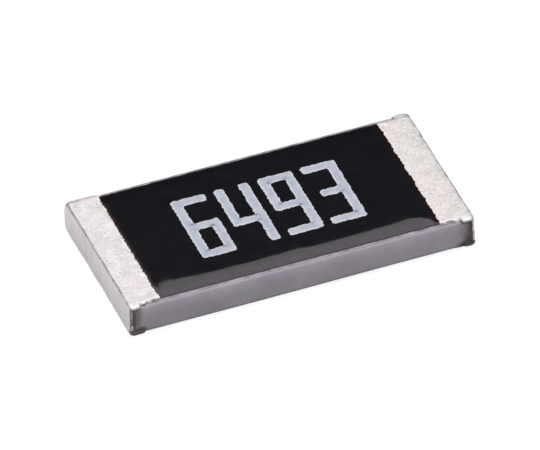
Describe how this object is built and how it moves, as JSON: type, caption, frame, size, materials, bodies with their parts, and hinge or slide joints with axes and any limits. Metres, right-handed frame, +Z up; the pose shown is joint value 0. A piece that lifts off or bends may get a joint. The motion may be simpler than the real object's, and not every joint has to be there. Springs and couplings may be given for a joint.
{
  "type": "chip resistor",
  "caption": "Flat rectangular thick-film chip resistor with an alumina body, a black overcoat and tin-plated terminals wrapped round both short ends.",
  "frame": {"origin": "middle of the underside of the two terminals, at the bottom centre of the whole chip", "axes": "+X along the length towards the right terminal, +Y across the width, +Z up out of the printed top face"},
  "size_m": [0.0064, 0.0032, 0.0007],
  "materials": {
    "alumina": "matte, fired alumina with snapped edges",
    "silver": "matte fired silver paste",
    "resistor_paste": "matte fired paste",
    "glass_coat": "glossy opaque glass",
    "overcoat": "smooth black resin, slightly glossy",
    "end_metal": "thin sputtered metal",
    "nickel": "satin nickel plating",
    "tin": "matte granular tin plating",
    "marking_ink": "matte bluish white printed ink"
  },
  "bodies": {
    "root": {"ceramic_substrate": "alumina", "top_electrode_left": "silver", "top_electrode_right": "silver", "bottom_electrode_left": "silver", "bottom_electrode_right": "silver", "resistor_film": "resistor_paste", "glass_coat": "glass_coat", "overcoat": "overcoat", "end_electrode_left": "end_metal", "end_electrode_right": "end_metal", "nickel_barrier_left": "nickel", "nickel_barrier_right": "nickel", "tin_plating_left": "tin", "tin_plating_right": "tin"}
  },
  "joints": []
}
